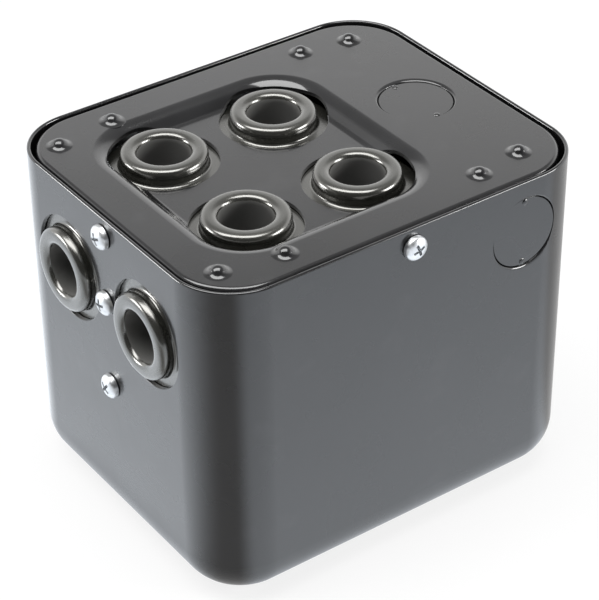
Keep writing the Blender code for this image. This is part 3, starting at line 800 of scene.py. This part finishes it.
def makeBushings(look):
    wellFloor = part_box("lid_cover")[1].z - lidLook["domeHeight"] - lidLook["wellDepth"]
    for name in lidBushingNames:
        node = "lid_bushing_" + name
        middle = boxMiddle(node)
        mesh = bushingMesh(look, lidLook["sheet"], look["lidRingHeight"])
        place = Matrix.Translation((middle.x, middle.y, wellFloor))
        piece = smooth(addObject("bushing_" + name, placed(mesh, place)))
        hand(piece, "lid", "black_moulding", bushingBlack, node)
    for name in ("front", "rear"):
        node = "side_bushing_" + name
        middle = boxMiddle(node)
        mesh = bushingMesh(look, canLook["wall"], look["sideRingHeight"])
        place = Matrix.Translation((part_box("case_can")[0].x, middle.y, middle.z)) @ wallTurn(3)
        piece = smooth(addObject("bushing_side_" + name, placed(mesh, place)))
        hand(piece, "case", "black_moulding", bushingBlack, node)


makeBushings(bushingLook)
print("bushings made")


# knockout slugs
slugLook = {
    "radius": 0.0111,
    "edge": 0.00015,
    "tie": 0.0011,
    "tieReach": 0.0002,
    "bump": 0.001,
    "bumpHeight": 0.00042,
    "bumpTurn": 80,
    "bumpSteps": 20,
    "steps": 80,
}


def makeSlug(look, node):
    low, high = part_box(node)
    middle = (low + high) / 2
    onLid = node == "lid_knockout"
    thick = (high - low).z if onLid else (high - low).y
    radius, edge, tie, bump = look["radius"], look["edge"], look["tie"], look["bump"]
    profile = [(radius - edge, -thick), (radius, edge - thick), (radius, -edge), (radius - edge, 0)]
    slug = addObject("slug_" + node, discStack("slug", profile, look["steps"]))
    # the two ties that hold it, cut just short of the sheet, and the marks that their punch left
    profile = [(bump, -edge)]
    profile += [(bump * x, look["bumpHeight"] * z) for x, z in arc((0, 0), 1, 0, look["bumpTurn"], 4)]
    half = look["tieReach"] / 2
    ties, bumps = [], []
    for way in (-1, 1):
        along = way * (radius + half)
        ties.append(boxMesh((-tie, along - half, -thick + edge), (tie, along + half, -edge)))
        bumps.append(discStack("bump", profile, look["bumpSteps"], (0, way * (radius - bump - edge))))
    boolean(slug, joinMeshes("ties", ties), "UNION")
    boolean(slug, joinMeshes("bumps", bumps), "UNION")
    if onLid:
        place = Matrix.Translation((middle.x, middle.y, high.z))
    else:
        place = Matrix.Translation((middle.x, low.y, middle.z)) @ wallTurn(0)
    slug.data.transform(place)
    smooth(slug, 30)
    hand(slug, node + "_body", "black_paint", caseBlack, node)


for node in ("lid_knockout", "front_knockout"):
    makeSlug(slugLook, node)
print("slugs made")


# screws, from one node tree
wallScrewLook = {
    "Head Radius": 0.0037, "Head Dome": 0.0018, "Head Edge": 0.0007, "Head Lift": 0.0003,
    "Recess Reach": 0.0019, "Recess Width": 0.00085,
    "Shank Radius": 0.0017, "Shank Length": 0.0078, "Pitch": 0.0008, "Thread": 0.0002}
smallScrewLook = {
    "Head Radius": 0.0028, "Head Dome": 0.0012, "Head Edge": 0.0007, "Head Lift": 0.0003,
    "Recess Reach": 0.0016, "Recess Width": 0.0008,
    "Shank Radius": 0.0014, "Shank Length": 0.0068, "Pitch": 0.0007, "Thread": 0.00016}
screwForm = {
    "headSides": 36, "headRings": 20, "shankSides": 20, "shankRows": 44,
    "headSplit": 0.001,  # the part of the ball above this is domed
    "shankOverlap": 0.0006,
    "recessDepth": 2.2, "recessLift": 1.2,  # in heights of the head's dome
    # the first screw's turn in degrees, and how much further each next one turns
    "lidTurns": (20, 31), "sideTurns": (12, 40), "smallTurns": (17, 29),
}


def copyOnPoints(tree, given, inputs):
    # the end of a tree: copies on points, made real and given their finish
    copies = addNode(tree, "GeometryNodeInstanceOnPoints", inputs)
    real = addNode(tree, "GeometryNodeRealizeInstances", {0: copies.outputs[0]})
    coat = addNode(tree, "GeometryNodeSetMaterial", {
        "Geometry": real.outputs[0], "Material": given["Finish"]})
    addNode(tree, "NodeGroupOutput", {0: coat.outputs[0]})


def screwTree(form):
    tree = bpy.data.node_groups.new("panScrew", "GeometryNodeTree")
    kinds = {name: "NodeSocketFloat" for name in wallScrewLook}
    kinds.update({"Place": "NodeSocketVector", "Turn": "NodeSocketRotation", "Finish": "NodeSocketMaterial"})
    sockets = {}
    for name, kind in kinds.items():
        sockets[name] = tree.interface.new_socket(name=name, in_out="INPUT", socket_type=kind).identifier
    tree.interface.new_socket(name="Geometry", in_out="OUTPUT", socket_type="NodeSocketGeometry")
    given = addNode(tree, "NodeGroupInput").outputs

    def work(operation, first, second=None):
        inputs = {0: first} if second is None else {0: first, 1: second}
        return addNode(tree, "ShaderNodeMath", inputs, operation=operation).outputs[0]

    def combine(x, y, z):
        return addNode(tree, "ShaderNodeCombineXYZ", {0: x, 1: y, 2: z}).outputs[0]

    def position():
        at = addNode(tree, "GeometryNodeInputPosition")
        return addNode(tree, "ShaderNodeSeparateXYZ", {0: at.outputs[0]}).outputs

    # head: a ball with its lower half pressed flat
    ball = addNode(tree, "GeometryNodeMeshUVSphere", {
        "Segments": form["headSides"], "Rings": form["headRings"], "Radius": 1})
    x, y, z = position()
    domed = work("ADD", work("MULTIPLY", z, given["Head Dome"]), given["Head Edge"])
    above = work("GREATER_THAN", z, form["headSplit"])
    height = work("ADD", work("MULTIPLY", above, domed), given["Head Lift"])
    wide = work("MULTIPLY", x, given["Head Radius"])
    deep = work("MULTIPLY", y, given["Head Radius"])
    pressed = addNode(tree, "GeometryNodeSetPosition", {
        "Geometry": ball.outputs["Mesh"], "Position": combine(wide, deep, height)})
    # shank: a rod whose skin winds up and down along a helix
    rod = addNode(tree, "GeometryNodeMeshCylinder", {
        "Vertices": form["shankSides"], "Side Segments": form["shankRows"],
        "Radius": given["Shank Radius"], "Depth": given["Shank Length"]})
    x, y, z = position()
    winding = work("DIVIDE", work("ARCTAN2", y, x), 2 * math.pi)
    turns = work("FRACT", work("SUBTRACT", work("DIVIDE", z, given["Pitch"]), winding))
    ridge = work("ABSOLUTE", work("SUBTRACT", work("MULTIPLY", turns, 2), 1))
    less = work("DIVIDE", work("MULTIPLY", ridge, given["Thread"]), given["Shank Radius"])
    keep = work("SUBTRACT", 1, less)
    half = work("MULTIPLY", given["Shank Length"], 0.5)
    sunk = work("SUBTRACT", z, work("SUBTRACT", half, form["shankOverlap"]))
    threaded = addNode(tree, "GeometryNodeSetPosition", {
        "Geometry": rod.outputs["Mesh"],
        "Position": combine(work("MULTIPLY", x, keep), work("MULTIPLY", y, keep), sunk)})
    whole = addNode(tree, "GeometryNodeMeshBoolean", {"Mesh 2": pressed.outputs[0]}, operation="UNION")
    tree.links.new(threaded.outputs[0], whole.inputs["Mesh 2"])
    # cross recess: two bars sunk into the head
    cut = addNode(tree, "GeometryNodeMeshBoolean", {"Mesh 1": whole.outputs["Mesh"]}, operation="DIFFERENCE")
    reach = work("MULTIPLY", given["Recess Reach"], 2)
    depth = work("MULTIPLY", given["Head Dome"], form["recessDepth"])
    edgeTop = work("ADD", given["Head Lift"], given["Head Edge"])
    lift = work("ADD", edgeTop, work("MULTIPLY", given["Head Dome"], form["recessLift"]))
    for sizeX, sizeY in ((reach, given["Recess Width"]), (given["Recess Width"], reach)):
        bar = addNode(tree, "GeometryNodeMeshCube", {"Size": combine(sizeX, sizeY, depth)})
        raised = addNode(tree, "GeometryNodeTransform", {
            "Geometry": bar.outputs["Mesh"], "Translation": combine(0, 0, lift)})
        tree.links.new(raised.outputs[0], cut.inputs["Mesh 2"])
    spot = addNode(tree, "GeometryNodePoints", {"Count": 1, "Position": given["Place"]})
    copyOnPoints(tree, given, {
        "Points": spot.outputs[0], "Instance": cut.outputs["Mesh"], "Rotation": given["Turn"]})
    return tree, sockets


def makeScrews(form):
    tree, sockets = screwTree(form)
    caseLow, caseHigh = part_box("case_can")

    def addScrew(name, node, body, look, place, turn):
        piece = addObject(name, bpy.data.meshes.new(name))
        step = piece.modifiers.new("screw", "NODES")
        step.node_group = tree
        for key, value in {**look, "Place": place, "Turn": turn, "Finish": screwZinc}.items():
            step[sockets[key]] = value
        freeze(piece)
        smooth(piece, 32)
        hand(piece, body, "zinc", screwZinc, node)

    def spin(turns, number):
        return Matrix.Rotation(math.radians(turns[0] + turns[1] * number), 4, "Z")

    for side, name in enumerate(wallNames):
        node = "lid_screw_" + name
        place = list(boxMiddle(node))
        place[0 if side % 2 else 1] = (caseLow.y, caseHigh.x, caseHigh.y, caseLow.x)[side]
        turn = (wallTurn(side) @ spin(form["lidTurns"], side)).to_euler()
        addScrew("screw_lid_" + name, node, node + "_body", wallScrewLook, place, turn)
    for number, name in enumerate(("upper", "lower")):
        node = "side_screw_" + name
        middle = boxMiddle(node)
        place = (caseLow.x, middle.y, middle.z)
        turn = (wallTurn(3) @ spin(form["sideTurns"], number)).to_euler()
        addScrew("screw_side_" + name, node, node + "_body", wallScrewLook, place, turn)
    small = [("terminal_screw_%d" % n, "terminal_screw_%d_body" % n) for n in range(1, 5)]
    small += [("board_screw_%d" % n, "case") for n in range(1, 5)]
    small += [("ground_screw", "ground_screw_body")]
    headTall = smallScrewLook["Head Lift"] + smallScrewLook["Head Edge"] + smallScrewLook["Head Dome"]
    for number, (node, body) in enumerate(small):
        middle = boxMiddle(node)
        place = (middle.x, middle.y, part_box(node)[1].z - headTall)
        turn = Euler((0, 0, math.radians(form["smallTurns"][0] + form["smallTurns"][1] * number)))
        addScrew("screw_" + node, node, body, smallScrewLook, place, turn)


makeScrews(screwForm)
print("screws made")


# plates, blocks and posts inside: the CAD shapes with their edges eased
easedLook = {
    "lid_retainer": ("lid", "plain_steel", stripSteel, 0.00015),
    "side_retainer": ("case", "plain_steel", stripSteel, 0.00015),
    "module_base": ("case", "plain_steel", stripSteel, 0.0002),
    "insulating_sheet": ("case", "fibre_sheet", fibreTan, 0.0001),
    "circuit_board": ("case", "board_green", boardGreen, 0.00012),
    "terminal_block": ("case", "terminal_black", blockBlack, 0.0003),
    "ground_post": ("case", "zinc", screwZinc, 0.00025),
    "film_capacitor": ("case", "capacitor_yellow", boxYellow, 0.0006),
}
for name in wallNames:
    easedLook["lid_clip_" + name] = ("case", "plain_steel", stripSteel, 0.0002)
for number in range(1, 5):
    easedLook["board_standoff_%d" % number] = ("case", "zinc", screwZinc, 0.0002)


def softCopy(node, body, slot, material, width):
    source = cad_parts[node]
    bm = bmesh.new()
    bm.from_mesh(source.data)
    bm.transform(source.matrix_world)
    bmesh.ops.remove_doubles(bm, verts=bm.verts, dist=1e-6)
    bmesh.ops.dissolve_limit(bm, angle_limit=math.radians(2), verts=bm.verts, edges=bm.edges)
    piece = addObject("soft_" + node, meshFrom(bm, "soft_" + node))
    softEdges(piece, width)
    smooth(piece)
    hand(piece, body, slot, material, node)


for node, look in easedLook.items():
    softCopy(node, *look)
print("inside plates and blocks made")


# varistors: dipped discs on two legs
varistorLook = {
    "squareness": 0.6,
    "capTurn": 86,
    "legSpread": 3,  # the disc's radius over a leg's distance from its middle
    "leg": 0.00045,
    "meniscus": 0.0011,
    "wetLength": 0.0016,
    "run": (0.7, 0.3),  # where the coating bends, as shares of the two above
    "legSink": 6,  # the disc's radius over how far a leg runs into it
    "legSteps": 20,
    "steps": 64,
}


def makeVaristor(look, node):
    low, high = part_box(node)
    middle = (low + high) / 2
    half, radius = (high.x - low.x) / 2, (high.y - low.y) / 2
    square, wet = look["squareness"], look["wetLength"]
    profile = []
    for x, z in arc((0, 0), 1, -look["capTurn"], look["capTurn"], 16):
        out = math.copysign(abs(z) ** square, z)
        profile.append((radius - half + half * x ** square, half * out))
    disc = addObject(node + "_disc", discStack("disc", profile, look["steps"]))
    place = Matrix.Translation((middle.x, middle.y, high.z - radius))
    disc.data.transform(place @ Matrix.Rotation(math.pi / 2, 4, "Y"))
    spread = radius / look["legSpread"]
    meets = high.z - radius - math.sqrt(radius ** 2 - spread ** 2)
    # each leg widens where the coating has run down it
    profile = [(look["leg"], low.z), (look["leg"], meets - wet)]
    profile += [(look["meniscus"] * look["run"][0], meets - wet * look["run"][1])]
    profile += [(look["meniscus"], meets + radius / look["legSink"])]
    legs = []
    for side in (-1, 1):
        legs.append(discStack("leg", profile, look["legSteps"], (middle.x, middle.y + side * spread)))
    boolean(disc, joinMeshes("legs", legs), "UNION")
    smooth(disc)
    hand(disc, "case", "varistor_blue", discBlue, node)


for number in range(1, 7):
    makeVaristor(varistorLook, "varistor_%d" % number)
print("varistors made")


# thermal fuses: ceramic bodies with end caps
fuseLook = {"ease": 0.00035, "cap": 0.0024, "waist": 0.88, "steps": 48}


def makeFuse(look, node):
    low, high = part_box(node)
    middle = (low + high) / 2
    half, radius = (high.y - low.y) / 2, (high.z - low.z) / 2
    ease, waist = look["ease"], radius * look["waist"]
    capEnd = -half + look["cap"]
    side = [(radius - 2 * ease, -half), (radius - 0.6 * ease, -half + 0.4 * ease)]
    side += [(radius, -half + 1.4 * ease), (radius, capEnd - ease), (radius - 0.4 * ease, capEnd)]
    side += [(waist, capEnd + 0.6 * ease), (waist, capEnd + 2 * ease)]
    profile = side + [(r, -z) for r, z in reversed(side)]
    fuse = addObject(node + "_body", discStack("fuse", profile, look["steps"]))
    fuse.data.transform(Matrix.Translation(middle) @ Matrix.Rotation(math.pi / 2, 4, "X"))
    smooth(fuse)
    hand(fuse, "case", "fuse_brown", fuseBuff, node)


for number in range(1, 4):
    makeFuse(fuseLook, "thermal_fuse_%d" % number)
print("fuses made")


# solder fillets round the varistors' legs, one node tree for all
solderLook = {"radius": 0.0013, "top": 0.0006, "height": 0.0004, "lift": 0.00005, "sides": 24, "rows": 3}


def makeSolder(look):
    tree = bpy.data.node_groups.new("solderFillets", "GeometryNodeTree")
    kinds = {"Geometry": "NodeSocketGeometry", "Radius": "NodeSocketFloat", "Height": "NodeSocketFloat",
             "Finish": "NodeSocketMaterial"}
    sockets = {}
    for name, kind in kinds.items():
        sockets[name] = tree.interface.new_socket(name=name, in_out="INPUT", socket_type=kind).identifier
    tree.interface.new_socket(name="Geometry", in_out="OUTPUT", socket_type="NodeSocketGeometry")
    given = addNode(tree, "NodeGroupInput").outputs
    cone = addNode(tree, "GeometryNodeMeshCone", {
        "Vertices": look["sides"], "Side Segments": look["rows"], "Radius Top": look["top"],
        "Radius Bottom": given["Radius"], "Depth": given["Height"]})
    copyOnPoints(tree, given, {"Points": given["Geometry"], "Instance": cone.outputs["Mesh"]})
    bm = bmesh.new()
    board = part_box("circuit_board")[1].z
    for number in range(1, 7):
        low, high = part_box("varistor_%d" % number)
        middle = (low + high) / 2
        spread = (high.y - low.y) / 2 / varistorLook["legSpread"]
        for side in (-1, 1):
            bm.verts.new((middle.x, middle.y + side * spread, board + look["lift"]))
    mesh = bpy.data.meshes.new("solder")
    bm.to_mesh(mesh)
    bm.free()
    piece = addObject("solder", mesh)
    step = piece.modifiers.new("solder", "NODES")
    step.node_group = tree
    step[sockets["Radius"]] = look["radius"]
    step[sockets["Height"]] = look["height"]
    step[sockets["Finish"]] = screwZinc
    freeze(piece)
    smooth(piece)
    piece.data.materials.clear()
    piece.data.materials.append(screwZinc)
    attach(piece, "case")


makeSolder(solderLook)
print("solder made")
